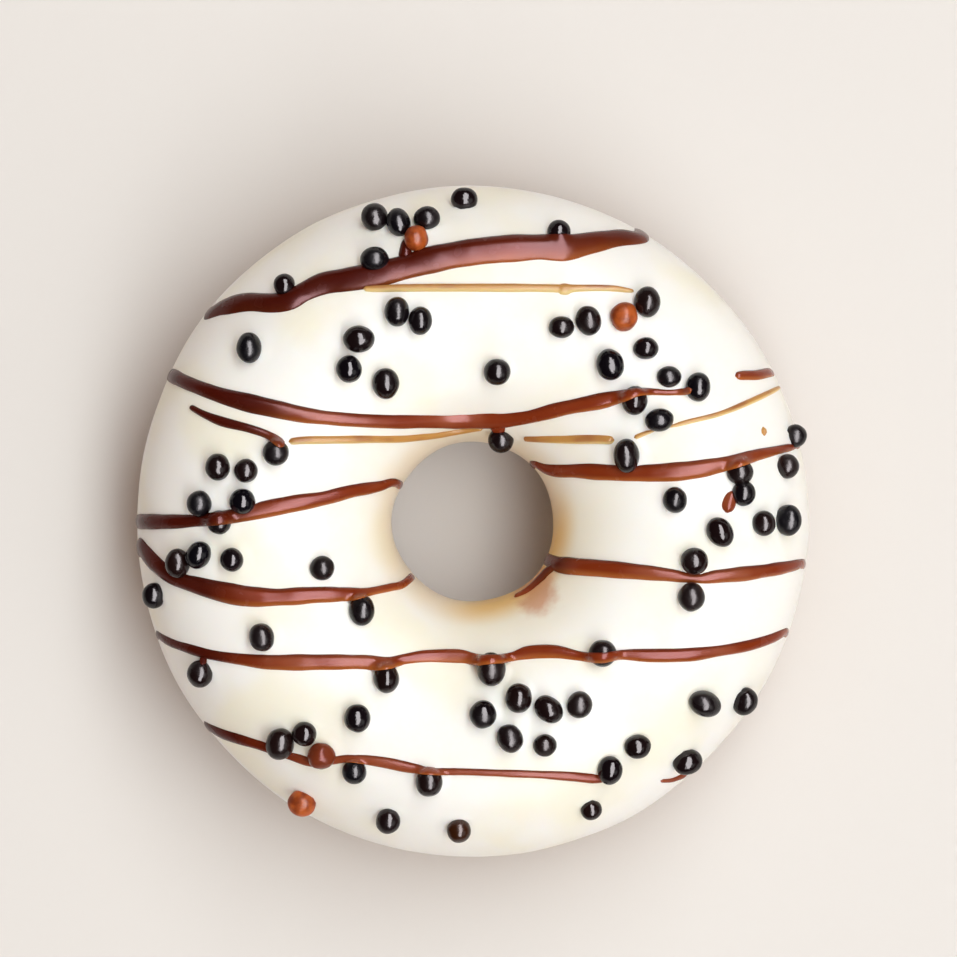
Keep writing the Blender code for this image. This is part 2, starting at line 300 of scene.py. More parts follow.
white, shader, add, link = new_finish("white_icing")
position = add("SeparateXYZ")
link(add("TexCoord").outputs["Object"], position.inputs["Vector"])
flat_place = add("CombineXYZ")
link(position.outputs["X"], flat_place.inputs["X"])
link(position.outputs["Y"], flat_place.inputs["Y"])
from_axis = add("VectorMath", operation="LENGTH")
link(flat_place.outputs["Vector"], from_axis.inputs[0])
sideways = add("VectorMath", operation="DOT_PRODUCT")
link(flat_place.outputs["Vector"], sideways.inputs[0])
sideways.inputs[1].default_value = SHADED_SIDE
# At least 0.3 all round the hole for the crust through thin icing, and up to 0.95 towards the lower right as
# painted shade.
crust_and_shade_share = remapped(add, link, sideways.outputs["Value"], *SHADED_SIDE_REACH, *SHADED_SIDE_SHARES)
near_hole = remapped(add, link, from_axis.outputs["Value"], *WARM_SLOPE)
warm_shaded_slope = worked_out(add, link, "MULTIPLY", near_hole, crust_and_shade_share)
warm_patches = remapped(add, link, object_noise(add, link, WARM_PATCH_SIZE), 0.42, 0.68)
warmth = worked_out(add, link, "MAXIMUM", warm_patches, warm_shaded_slope)
cream = mixed(add, link, warmth, CREAM, WARM_CREAM)
in_hole = remapped(add, link, from_axis.outputs["Value"], *THIN_WALL)
tinted = mixed(add, link, worked_out(add, link, "MULTIPLY", in_hole, crust_and_shade_share), cream, CRUST_AND_SHADE_TINT)
from_smear = distance_from(add, link, flat_place.outputs["Vector"], SMEAR_PLACE)
feather = object_noise(add, link, 2.6 * MM, 3)
feathered = worked_out(add, link, "MULTIPLY_ADD", feather, SMEAR_FEATHER, from_smear)
smear = remapped(add, link, feathered, *SMEAR_REACH, 0.0, 0.75)
link(mixed(add, link, smear, tinted, ROSE_STAIN), shader.inputs["Base Color"])
dullness = remapped(add, link, object_noise(add, link, 6 * MM), *NOISE_SPAN, *ICING_ROUGHNESS)
link(dullness, shader.inputs["Roughness"])
shader.inputs["Specular IOR Level"].default_value = 0.12
shader.inputs["Subsurface Weight"].default_value = 0.2
shader.inputs["Subsurface Radius"].default_value = (1.0, 0.75, 0.5)
shader.inputs["Subsurface Scale"].default_value = 0.7 * MM
add_bumps(add, link, shader, [(object_noise(add, link, 3.5 * MM), 0.10 * MM, 0.4)])
icing.data.materials.append(white)
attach(icing, "root")
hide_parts("white_icing")


# The crisp pearls. Puffed balls in a polished dark shell, 3 to 4 mm across, dropped on while the icing was
# wet. Each has sunk a little, and the icing has crept up round it.
PEARL_SINK = 0.95 * MM
PEARL_DENT = 0.05  # share of the radius
PEARL_DENT_SIZE = 0.85
CREEP_HEIGHT = 0.28 * MM
CREEP_WIDTH = 0.45 * MM
FACE_DEPTH = 1.0 * MM  # the icing's face lies no further than this below its skin, and its back does
NEAR_RADII = 3  # what lies further than this many radii from a pearl's middle isn't at it
# Each pearl's place, width and height in millimetres, as seen from above, and its lean in degrees. The
# pearls of the first list lie clear of the chocolate, and those of the second were caught by it.
LOOSE_PEARLS = [
    (-1.1, 43.2, 3.6, 3.1, 0), (-13.1, 40.8, 3.6, 4.0, 0), (-9.9, 40.1, 3.2, 4.2, 8),
    (-6.1, 40.6, 3.6, 3.2, 0), (-13.1, 35.1, 3.9, 3.3, 0), (-25.2, 31.7, 2.9, 3.1, 0),
    (-29.9, 23.3, 3.3, 4.2, 0), (-15.2, 24.4, 4.2, 3.7, 0), (-10.1, 28.1, 3.3, 4.0, 0),
    (-7.0, 26.9, 3.2, 3.8, 0), (-16.5, 20.4, 3.5, 3.7, 15), (-11.6, 18.5, 3.6, 4.2, 0),
    (11.9, 26.0, 3.4, 3.0, 0), (15.5, 26.9, 3.4, 4.0, 15), (23.4, 29.4, 3.6, 4.2, 0),
    (23.2, 23.2, 3.4, 3.0, 0), (18.4, 21.0, 3.7, 4.3, 12), (3.3, 20.0, 3.6, 3.6, 0),
    (26.3, 19.4, 3.3, 2.9, 0), (25.0, 13.6, 3.9, 3.1, 5), (20.6, 8.8, 3.4, 4.6, 4),
    (3.8, 10.9, 3.5, 3.3, 0), (-34.1, 7.3, 3.3, 3.6, 0), (-30.3, 6.8, 3.2, 3.2, 0),
    (-36.6, 2.4, 3.4, 3.5, 0), (-30.8, 2.7, 3.5, 3.4, 0), (-36.7, -4.5, 3.2, 3.9, -30),
    (-32.2, -5.1, 3.2, 3.2, 0), (-20.1, -6.2, 3.3, 3.3, 0), (-42.7, -9.9, 2.9, 3.6, 0),
    (-28.2, -15.5, 3.4, 3.9, 20), (-39.5, -5.6, 3.2, 4.0, 0), (27.1, 2.9, 3.3, 3.5, 0),
    (36.3, 3.8, 3.1, 3.4, 0), (39.0, -0.2, 3.2, 3.4, 0), (42.3, 0.2, 3.5, 4.2, 0),
    (42.2, 7.4, 3.2, 3.3, 0), (43.3, 11.5, 3.0, 3.2, 0), (33.1, -1.4, 3.4, 4.2, 35),
    (29.7, -5.3, 3.8, 3.6, 0), (29.3, -10.1, 3.7, 3.9, 0), (6.2, -23.6, 3.6, 4.1, 0),
    (10.2, -25.1, 3.4, 4.2, 50), (14.3, -24.5, 3.4, 3.7, -20), (1.4, -25.8, 3.7, 3.8, 0),
    (5.0, -29.0, 3.5, 3.9, 25), (9.7, -29.9, 3.2, 3.0, 0), (22.1, -30.1, 3.6, 3.2, 0),
    (18.4, -33.3, 3.3, 3.9, -10), (15.9, -38.6, 2.9, 2.8, 0), (31.1, -24.4, 3.5, 4.6, 60),
    (36.5, -24.1, 3.3, 3.8, -35), (28.8, -32.2, 4.1, 3.2, 0), (-15.4, -26.3, 3.6, 3.8, 10),
    (-25.8, -29.8, 3.8, 4.5, -10), (-22.5, -28.4, 3.4, 3.3, 0), (-11.3, -40.1, 3.3, 3.6, -15),
    (-1.8, -41.4, 3.3, 3.3, 0),
]
CAUGHT_PEARLS = [
    (11.6, 38.8, 3.2, 3.3, 0), (21.7, 16.2, 3.4, 3.9, -10), (30.2, 18.0, 3.3, 4.0, 0),
    (-26.3, 9.2, 3.6, 3.4, 0), (-33.9, -0.1, 3.2, 3.2, 0), (35.8, 6.6, 3.6, 3.4, 0),
    (-14.8, -11.9, 3.5, 4.1, 0), (-36.5, -20.4, 3.4, 3.8, 0), (-11.5, -21.0, 3.5, 3.9, 0),
    (2.5, -19.7, 3.8, 4.7, 0), (17.4, -17.6, 3.8, 3.6, 0), (-15.8, -33.5, 3.3, 3.3, 0),
    (-5.8, -34.9, 3.6, 3.9, 0),
]
BROWN_PEARL = (-1.8, -41.4)
PEARL_BLACK = (0.0035, 0.0030, 0.0050, 1)
PEARL_BROWN = (0.036, 0.010, 0.003, 1)
MOST_BROWNED = 0.3  # how far a dark pearl goes from black towards brown
PEARL_ROUGHNESS = (0.12, 0.31)
chance = random.Random(7)


def skin_angles(places):
    """The two ring angles of places near the icing's skin."""
    x, y, z = np.moveaxis(places, -1, 0)
    turn = np.arctan2(y, x)
    across = (np.hypot(x, y) - TUBE_RADIUS) / (HALF_WIDTH + waves(turn, OUTLINE_WAVES))
    crown = CROWN_HEIGHT - WIDEST_HEIGHT + waves(turn, CROWN_WAVES)
    up = (z - WIDEST_HEIGHT) / np.where(z > WIDEST_HEIGHT, crown, FOOT_DEPTH)
    return turn, np.arctan2(unsquared(up), unsquared(across))


def plan_angles(x, y, lift=0.0):
    """The two ring angles of a place seen from above, on the surface so far above the icing's skin."""
    turn = math.atan2(y, x)
    across = (math.hypot(x, y) - TUBE_RADIUS) / (HALF_WIDTH + waves(turn, OUTLINE_WAVES) + lift)
    return turn, math.acos(unsquared(np.clip(across, -1, 1)))


def outward(turn, tilt):
    """The directions in which the icing's skin faces."""
    step = ring_places(turn, tilt, MM) - ring_places(turn, tilt)
    return step / np.linalg.norm(step, axis=-1, keepdims=True)


def creep_up(middle, facing, radius, height):
    """Raises the icing in a soft collar round a ball of this radius that stands this high in it."""
    away = icing_places - middle
    near = np.einsum("ij,ij->i", away, away) < (NEAR_RADII * radius) ** 2
    rise = away[near] @ facing
    beside = np.linalg.norm(away[near] - rise[:, None] * facing, axis=1)
    waterline = math.sqrt(max(radius**2 - height**2, 0))
    on_face = rise > -height - FACE_DEPTH
    collar = CREEP_HEIGHT * np.exp(-(((beside - waterline) / CREEP_WIDTH) ** 2)) * on_face
    icing_places[near] += collar[:, None] * facing


def add_pearls(name, model, pearls):
    """One piece of many pearls, each a copy of the modelled one, turned, stretched and set in the icing."""
    copies = []
    for x, y, width, height, lean in pearls:
        radius = (width + height) / 4 * MM
        lift = radius - PEARL_SINK
        turn, tilt = plan_angles(x * MM, y * MM, lift)
        middle = ring_places(turn, tilt, lift)
        facing = outward(turn, tilt)
        up = Vector(facing)
        right = (Vector((1, 0, 0)) - up * up.x).normalized()
        stand = Matrix((right, up.cross(right), up)).transposed().to_4x4()
        angle = chance.uniform(0, math.tau)
        axis = Vector([chance.uniform(-1, 1) for _ in range(3)])
        any_way = Matrix.Rotation(angle, 4, axis)
        stretch = Matrix.Diagonal((width / 2 * MM, height / 2 * MM, radius, 1))
        copy = bpy.data.objects.new(name, model.data.copy())
        bpy.context.collection.objects.link(copy)
        lean_turn = Matrix.Rotation(math.radians(lean), 4, "Z")
        copy.data.transform(Matrix.Translation(Vector(middle)) @ stand @ lean_turn @ stretch @ any_way)
        creep_up(middle, facing, radius, lift)
        if (x, y, width, height, lean) in CAUGHT_PEARLS:
            caught_balls.append((middle, radius))
        tone = copy.data.attributes.new("tone", "FLOAT", "POINT")
        shade = 1.0 if (x, y) == BROWN_PEARL else chance.uniform(0, MOST_BROWNED)
        tone.data.foreach_set("value", np.full(len(copy.data.vertices), shade))
        copies.append(copy)
    bpy.ops.object.select_all(action="DESELECT")
    for copy in copies:
        copy.select_set(True)
    bpy.context.view_layer.objects.active = copies[0]
    bpy.ops.object.join()
    piece = bpy.context.object
    piece.name = name
    piece.data.shade_smooth()
    return piece


bpy.ops.object.select_all(action="DESELECT")
bpy.ops.mesh.primitive_ico_sphere_add(subdivisions=4, radius=1)
one_pearl = bpy.context.object
places = mesh_places(one_pearl.data)
dents = 1 + PEARL_DENT * noise_at(places, PEARL_DENT_SIZE)
place_mesh(one_pearl.data, places * dents[:, None])
caught_balls = []
dark_pearls = add_pearls("dark_pearls", one_pearl, LOOSE_PEARLS + CAUGHT_PEARLS)

shell, shader, add, link = new_finish("dark_pearl_shell")
tone = add("Attribute", attribute_name="tone")
link(mixed(add, link, tone.outputs["Fac"], PEARL_BLACK, PEARL_BROWN), shader.inputs["Base Color"])
dullness = remapped(add, link, object_noise(add, link, 5 * MM, 3), 0.35, 0.65, *PEARL_ROUGHNESS)
link(dullness, shader.inputs["Roughness"])
shader.inputs["Specular IOR Level"].default_value = 0.29
add_bumps(add, link, shader, [(object_noise(add, link, 1.0 * MM), 0.16 * MM, 0.5)])
dark_pearls.data.materials.append(shell)
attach(dark_pearls, "root")


# The caramel pearls. The same crisp balls in a caramel-coloured shell, duller and more lumpy. A few of them
# fell among the dark ones.
CARAMEL_PEARLS = [(-7.5, 37.9, 3.2, 3.5, 0), (20.3, 27.4, 3.8, 3.9, 0), (-22.9, -37.8, 3.7, 3.7, 0)]
CARAMEL_SHELL = (0.48, 0.100, 0.016, 1)
CARAMEL_SHELL_DEEP = (0.22, 0.035, 0.006, 1)
CARAMEL_LUMPS = 2.0  # times the unevenness of a dark pearl

place_mesh(one_pearl.data, places * (1 + CARAMEL_LUMPS * (dents - 1))[:, None])
caramel_pearls = add_pearls("caramel_pearls", one_pearl, CARAMEL_PEARLS)
caramel_shell, shader, add, link = new_finish("caramel_pearl_shell")
deeper = remapped(add, link, object_noise(add, link, 1.6 * MM, 3), 0.35, 0.7)
link(mixed(add, link, deeper, CARAMEL_SHELL, CARAMEL_SHELL_DEEP), shader.inputs["Base Color"])
shader.inputs["Roughness"].default_value = 0.34
shader.inputs["Specular IOR Level"].default_value = 0.16
shader.inputs["Subsurface Weight"].default_value = 0.1
shader.inputs["Subsurface Scale"].default_value = 0.5 * MM
add_bumps(add, link, shader, [(object_noise(add, link, 0.9 * MM), 0.1 * MM, 0.6)])
caramel_pearls.data.materials.append(caramel_shell)
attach(caramel_pearls, "root")


# The coated pearl. One crisp ball that the chocolate ran right over, in an uneven coat. It is the last ball
# to be set in the icing, which then has all its collars.
COATED_PEARLS = [(-20.2, -31.4, 3.6, 3.8, 10)]
COAT_LUMPS = 3.0  # times the unevenness of a dark pearl
COAT_DEPTH = 0.75  # of its own darker colour, on the scale of the painted shade on a thread's edge towards +y, which is 1

place_mesh(one_pearl.data, places * (1 + COAT_LUMPS * (dents - 1))[:, None])
coated_pearls = add_pearls("coated_pearls", one_pearl, COATED_PEARLS)
# The coated pearl's own darker colour, given on the scale that the threads use for painted shade and light.
shade_and_depth = coated_pearls.data.attributes.new("shade_and_depth", "FLOAT", "POINT")
shade_and_depth.data.foreach_set("value", np.full(len(coated_pearls.data.vertices), COAT_DEPTH))
bpy.data.objects.remove(one_pearl)
place_mesh(icing.data, icing_places)


# The chocolate drizzle. Milk chocolate swung across the ring in ten passes from a spoon, so each thread
# swells and thins, climbs over pearls, and runs over the rim or into the hole. It has set glossy. Each
# thread's edge towards -y is painted paler and more orange, as painted light, and its edge towards +y
# darker, as painted shade.
THREAD_STEP = 0.3 * MM
CURVE_STEPS = 60  # between two points of a route, before the even steps are measured off
THREAD_COLUMNS = 8
LEAST_HEIGHT = 0.26 * MM
HEIGHT_SHARE = 0.24  # what each part of the width adds to the height
DOME_POWERS = (2.2, 0.8)  # of the thread's section, where 2 and 0.5 give half an ellipse
SWELL_SHARE = 0.10  # of the width, by which a thread swells and thins
SWELL_LENGTH = 3.6 * MM
END_SHARE = 0.6  # of the width, over which a thread's end rounds off
END_POINT = 0.02  # the least of that rounding, so that an end never closes to nothing
THREAD_SINK = 0.35 * MM
COAT = 0.14 * MM  # chocolate left on top of a pearl
CLIMB_HEIGHT = 1.5 * MM  # over which a thread thins as it climbs a pearl
CLIMB_THINNING = 0.55
EASE_PASSES = 6
STEEP_START = 0.7  # upward part of the skin's normal, below which a thread thins
STEEP_THINNING = 0.75
LEAST_SEEN = 0.6  # a thread on a slope is widened, to look as wide from above, by no more than 1 / this
RIM_TILT = math.radians(3)
HOLE_TILT = math.radians(177)
END_ABOVE_LIP = math.radians(2.0)
RUN_ON_WIDTHS = (0.9, 0.65)  # shares of the thread's width at the rim and at its end below
# Each point's place and width in millimetres, as seen from above. A route that starts or ends with rim or
# hole runs on over it.
CHOCOLATE_ROUTES = [
    ["rim", (-35.2, 28.0, 2.3), (-33, 28.9, 2.8), (-30, 29.4, 2.8), (-27, 29.3, 2.6),
     (-24.6, 29.6, 2.5), (-22.5, 30.8, 2.5), (-20, 31.9, 2.8), (-17, 32.4, 3.0), (-13, 33.1, 3.2),
     (-9, 34.1, 3.2), (-5, 35.2, 3.4), (0, 36.1, 3.5), (5, 36.6, 3.5), (9, 36.8, 3.4),
     (12.5, 36.8, 3.5), (16, 37.4, 3.0), (20, 38.1, 2.7), (22.4, 38.2, 2.4), "rim"],
    ["rim", (-40.3, 19.6, 1.9), (-38, 18.5, 1.9), (-34, 17.0, 2.1), (-30, 15.9, 2.5), (-26, 15.0, 2.4),
     (-22, 14.2, 2.1), (-16, 13.6, 1.8), (-8, 13.4, 1.8), (-2, 13.4, 1.8), (3, 13.5, 2.0),
     (7, 13.9, 1.8), (12, 15.1, 1.9), (17, 16.1, 2.1), (20, 16.8, 1.7), (22.5, 17.4, 1.1),
     (26, 17.3, 0.9), (28.2, 17.4, 0.9), (29.3, 17.7, 1.1)],
    [(-37.8, 15.4, 0.8), (-36, 14.4, 1.0), (-33.5, 13.4, 1.3), (-30, 12.5, 1.2), (-27.6, 11.7, 1.1),
     (-26.2, 10.9, 1.3), (-25.2, 10.1, 1.2)],
    ["rim", (-44.2, 0, 2.1), (-40, 0, 1.9), (-36.5, 0.2, 1.8), (-33, 0.6, 1.9), (-29, 1.4, 2.3),
     (-24, 2.4, 2.3), (-20, 3.1, 2.0), (-16, 4.1, 1.8), (-12.5, 4.7, 1.5), (-10.5, 5.2, 1.2), "hole"],
    ["hole", (8.3, 7.7, 1.2), (10, 7.0, 1.8), (14, 6.8, 2.0), (18, 6.6, 2.2), (22, 6.5, 2.3),
     (26, 6.6, 2.6), (30, 7.0, 2.6), (34, 7.8, 2.0), (38, 8.9, 1.6), (41, 9.6, 1.2), (43.2, 10.1, 1.0),
     "rim"],
    ["rim", (-44.4, -3.6, 2.6), (-42.6, -5.6, 2.4), (-40.4, -7.3, 2.0), (-37, -8.5, 2.3),
     (-33, -9.5, 2.8), (-30, -10.0, 2.8), (-26, -10.1, 2.3), (-21, -9.8, 2.2), (-17, -9.7, 1.9),
     (-14, -9.4, 1.2), (-11, -8.8, 1.1), (-9.2, -8.3, 1.1), "hole"],
    ["rim", (43.9, -5.7, 1.4), (41, -6.3, 1.8), (37, -6.9, 1.9), (33, -7.3, 1.8), (30, -7.6, 1.4),
     (26, -7.1, 1.8), (21, -6.6, 2.2), (15, -6.1, 2.3), (12, -5.8, 2.3), (10.7, -5.4, 1.9), "hole"],
    [(11.2, -5.9, 1.2), (10.1, -6.7, 1.5), (8.9, -7.9, 1.4), (7.4, -9.2, 1.1), (5.6, -10.1, 0.7)],
    ["rim", (-42.0, -15.3, 1.3), (-39, -16.7, 1.4), (-35, -17.8, 1.4), (-31, -18.4, 1.6),
     (-27, -18.8, 2.1), (-20, -18.8, 2.2), (-15, -18.8, 2.1), (-11.5, -18.9, 1.6), (-9, -18.4, 1.4),
     (-6, -18.0, 1.7), (-2, -18.0, 1.7), (1, -18.4, 1.3), (5, -18.1, 1.1), (7.6, -17.5, 1.8),
     (11, -17.4, 1.8), (14.5, -18.0, 1.3), (17.4, -18.2, 1.4), (20, -17.8, 1.4), (24, -17.9, 1.8),
     (29, -17.8, 1.8), (33, -17.3, 1.5), (37, -16.6, 1.5), (40, -15.7, 1.5), (41.8, -14.9, 1.4), "rim"],
    ["rim", (-35.3, -27.6, 1.8), (-32.5, -28.8, 1.7), (-29, -29.8, 1.3), (-25, -31.1, 1.1),
     (-21.5, -32.2, 1.2), (-18.4, -31.9, 1.1), (-16, -31.7, 1.0), (-12, -32.2, 1.5), (-8.5, -32.9, 1.3),
     (-5, -33.4, 1.0), (0, -33.5, 0.9), (8, -33.8, 1.0), (13, -34.1, 1.2), (16.2, -34.4, 1.2),
     (17.8, -34.3, 1.0)],
    ["rim", (40.2, 20.0, 1.3), (38.4, 19.7, 1.4), (36.4, 19.6, 1.3), (35.2, 19.5, 1.0)],
    [(-35.8, -17.9, 1.0), (-36.1, -18.5, 1.0), (-36.3, -19.1, 0.9)],
    [(-9.1, 34.8, 1.9), (-8.9, 36.4, 1.7), (-8.8, 37.9, 1.3)],
    [(3.2, 13.4, 2.3), (3.4, 12.4, 2.0), (3.7, 11.7, 1.7)],
    [(34.9, 4.2, 1.2), (34.5, 3.0, 1.7), (34.2, 2.0, 1.8), (34.0, 1.2, 1.6)],
    [(25.2, -34.7, 0.5), (26.8, -34.6, 0.8), (28.3, -33.9, 1.2), (28.7, -33.2, 1.0)],
]
MILK_CHOCOLATE = (0.215, 0.030, 0.006, 1)
DARKER_CHOCOLATE = (0.052, 0.004, 0.002, 1)
PALER_CHOCOLATE = (0.320, 0.085, 0.036, 1)
# The pale orange of a thread's edge towards -y, as painted light.
LIT_EDGE_CHOCOLATE = (0.420, 0.120, 0.022, 1)
# The chocolate is painted darker with distance from a point near the hole, as painted shade that is deepest
# along the left rim, away from the light, and is darker in the pool where a drip ran down into the hole.
SHADE_FREE_POINT = (12 * MM, -8 * MM, 20 * MM)
SHADE_DISTANCES = (45 * MM, 54 * MM)
SHADE_WANDER = 8.0 * MM
POOL_PLACE = (11.5 * MM, -5.6 * MM, 22 * MM)
POOL_REACH = (6.5 * MM, 2.0 * MM)
CHOCOLATE_ROUGHNESS = (0.19, 0.28)


def smooth_curve(points, step):
    """Points a step apart on the smooth curve through these, in as many dimensions as they have."""
    points = np.array(points)
    padded = np.concatenate([[2 * points[0] - points[1]], points, [2 * points[-1] - points[-2]]])
    curve = []
    for before, start, end, after in zip(padded, padded[1:], padded[2:], padded[3:]):
        share = np.linspace(0, 1, CURVE_STEPS, endpoint=False)[:, None]
        bend = 2 * before - 5 * start + 4 * end - after
        turn_back = 3 * start - before - 3 * end + after
        curve.append((2 * start + (end - before) * share + bend * share**2 + turn_back * share**3) / 2)
    curve = np.concatenate([*curve, points[-1:]])
    run = np.concatenate([[0], np.cumsum(np.linalg.norm(np.diff(curve[:, :3], axis=0), axis=1))])
    stations = np.linspace(0, run[-1], max(4, round(run[-1] / step)))
    return np.stack([np.interp(stations, run, column) for column in curve.T], axis=1), stations


def route_on_skin(route):
    """Places and widths along a thread, from its plan points and the runs over the rim or into the hole."""
    plan = [point for point in route if not isinstance(point, str)]
    knots = [(*ring_places(*plan_angles(x * MM, y * MM)), width * MM) for x, y, width in plan]
    for end, side in ((0, -1), (-1, 1)):
        if isinstance(route[end], str):
            x, y, width = plan[end]
            turn = math.atan2(y, x)
            if route[end] == "rim":
                tilts = (RIM_TILT, OUTER_LIP + waves(turn, OUTER_LIP_WAVES) + END_ABOVE_LIP)
            else:
                tilts = (HOLE_TILT, INNER_LIP + waves(turn, INNER_LIP_WAVES) - END_ABOVE_LIP)
            run_on = [
                (*ring_places(turn, tilt), width * share * MM) for tilt, share in zip(tilts, RUN_ON_WIDTHS)
            ]
            knots = knots + run_on if side > 0 else run_on[::-1] + knots
    return smooth_curve(knots, THREAD_STEP)


def climb(places):
    """How high the pearls stand straight above these places on the skin, with a thread's coat on them."""
    lift = np.zeros(places.shape[:-1])
    for middle, radius in caught_balls:
        reach = (radius + COAT) ** 2 - np.sum((places - middle)[..., :2] ** 2, axis=-1)
        top = middle[2] - places[..., 2] + np.sqrt(np.maximum(reach, 0))
        lift = np.maximum(lift, np.where((reach > 0) & (top < NEAR_RADII * radius), top, 0))
    return lift


def eased(values, passes):
    """Each value averaged with its neighbours along the thread and, less, across it."""
    for _ in range(passes):
        middle = (values[:-2] + 2 * values[1:-1] + values[2:]) / 4
        values = np.concatenate([values[:1], middle, values[-1:]])
    crossed = np.pad(values, ((0, 0), (1, 1)), mode="edge")
    return (crossed[:, :-2] + 2 * values + crossed[:, 2:]) / 4


def lay_thread(name, route, seed):
    """A thread poured along a route: a sheet as long and wide, domed, given a foot and laid on the skin."""
    stations, run = route_on_skin(route)
    places, width = stations[:, :3], stations[:, 3]
    count = len(places)
    wobble = np.array([noise.noise(Vector((along / SWELL_LENGTH, seed, 0))) for along in run])
    width = width * (1 + SWELL_SHARE * wobble)
    near_end = np.clip(np.minimum(run, run[-1] - run) / (END_SHARE * width), END_POINT, 1)
    taper = np.sqrt(near_end * (2 - near_end))
    bpy.ops.object.select_all(action="DESELECT")
    bpy.ops.mesh.primitive_grid_add(x_subdivisions=count - 1, y_subdivisions=THREAD_COLUMNS, size=2)
    thread = bpy.context.object
    thread.name = name
    bpy.ops.object.mode_set(mode="EDIT")
    bpy.ops.mesh.select_all(action="SELECT")
    bpy.ops.mesh.extrude_region_move(TRANSFORM_OT_translate={"value": (0, 0, 1)})
    bpy.ops.mesh.select_all(action="SELECT")
    bpy.ops.mesh.normals_make_consistent(inside=False)
    bpy.ops.object.mode_set(mode="OBJECT")
    x, y, z = mesh_places(thread.data).T
    along = np.round((x + 1) / 2 * (count - 1)).astype(int)
    column = np.round((y + 1) / 2 * THREAD_COLUMNS).astype(int)
    across = -np.cos(math.pi * np.arange(THREAD_COLUMNS + 1) / THREAD_COLUMNS)
    facing = outward(*skin_angles(places))
    ahead = np.gradient(places, axis=0)
    side = np.cross(facing, ahead)
    side /= np.linalg.norm(side, axis=1, keepdims=True)
    width = width / np.clip(np.hypot(side[:, 0], side[:, 1]), LEAST_SEEN, 1)
    offsets = across[None, :, None] * side[:, None, :] * (width * taper / 2)[:, None, None]
    angles = skin_angles(places[:, None, :] + offsets)
    skin = ring_places(*angles)
    normals = outward(*angles)
    over = climb(skin)
    held = np.maximum(eased(over, EASE_PASSES), over)
    dome = (1 - np.abs(across) ** DOME_POWERS[0]) ** DOME_POWERS[1]
    steep = np.clip(1 - facing[:, 2] / STEEP_START, 0, 1)
    crest = (LEAST_HEIGHT + HEIGHT_SHARE * width) * taper * (1 - STEEP_THINNING * steep)
    thinned = 1 - CLIMB_THINNING * np.clip(held / CLIMB_HEIGHT, 0, 1)
    top = skin + normals * (dome[None, :] * crest[:, None] * thinned)[..., None]
    foot = skin - normals * THREAD_SINK
    top[..., 2] += held
    foot[..., 2] += over
    laid = np.where(z[:, None] > 0.5, top[along, column], foot[along, column])
    place_mesh(thread.data, laid)
    # This attribute is 1 at the thread's edge towards +y and -1 at its edge towards -y; the finishes paint
    # shade on the first and light on the second.
    shade_and_depth = thread.data.attributes.new("shade_and_depth", "FLOAT", "POINT")
    shade_and_depth.data.foreach_set("value", across[column] * side[along, 1])
    return thread


def join_threads(name, threads):
    """One piece of all these threads."""
    bpy.ops.object.select_all(action="DESELECT")
    for thread in threads:
        thread.select_set(True)
    bpy.context.view_layer.objects.active = threads[0]
    bpy.ops.object.join()
    piece = bpy.context.object
    piece.name = name
    piece.data.shade_smooth()
    return piece


drizzle = join_threads("chocolate_drizzle", [
    lay_thread("chocolate_thread", route, seed) for seed, route in enumerate(CHOCOLATE_ROUTES)
])

chocolate, shader, add, link = new_finish("milk_chocolate")
swirl = object_noise(add, link, 9 * MM)
paler = mixed(add, link, remapped(add, link, swirl, 0.42, 0.72, 0.0, 0.7), MILK_CHOCOLATE, PALER_CHOCOLATE)
# Painted light on each thread's edge towards -y and painted shade on its edge towards +y; the coated pearl
# darkens on the same scale, as its own colour.
shade_and_depth = add("Attribute", attribute_name="shade_and_depth").outputs["Fac"]
lit_edge = remapped(add, link, shade_and_depth, -0.2, -0.95, 0.0, 0.8)
edged = mixed(add, link, lit_edge, paler, LIT_EDGE_CHOCOLATE)
shaded_edge_and_coat = remapped(add, link, shade_and_depth, 0.45, 1.0, 0.0, 0.6)
edged = mixed(add, link, shaded_edge_and_coat, edged, DARKER_CHOCOLATE)
position = add("TexCoord").outputs["Object"]
# Painted shade: darker with distance from that point, so that the threads are darkest along the left rim.
from_shade_free_point = distance_from(add, link, position, SHADE_FREE_POINT)
shade_distance = worked_out(add, link, "MULTIPLY_ADD", swirl, SHADE_WANDER, from_shade_free_point)
painted_shade = remapped(add, link, shade_distance, *SHADE_DISTANCES, 0.0, 0.92)
shade_darkened = mixed(add, link, painted_shade, edged, DARKER_CHOCOLATE)
pool = remapped(add, link, distance_from(add, link, position, POOL_PLACE), *POOL_REACH, 0.0, 0.7)
link(mixed(add, link, pool, shade_darkened, DARKER_CHOCOLATE), shader.inputs["Base Color"])
shader.inputs["Subsurface Weight"].default_value = 0.12
shader.inputs["Subsurface Radius"].default_value = (1.0, 0.35, 0.15)
shader.inputs["Subsurface Scale"].default_value = 0.5 * MM
dullness = remapped(add, link, object_noise(add, link, 2.5 * MM), *NOISE_SPAN, *CHOCOLATE_ROUGHNESS)
link(dullness, shader.inputs["Roughness"])
shader.inputs["Specular IOR Level"].default_value = 0.18
shader.inputs["Specular Tint"].default_value = (1.0, 0.72, 0.78, 1)
add_bumps(add, link, shader, [(object_noise(add, link, 1.8 * MM), 0.06 * MM, 0.14)])
for piece in (drizzle, coated_pearls):
    piece.data.materials.append(chocolate)
    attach(piece, "root")


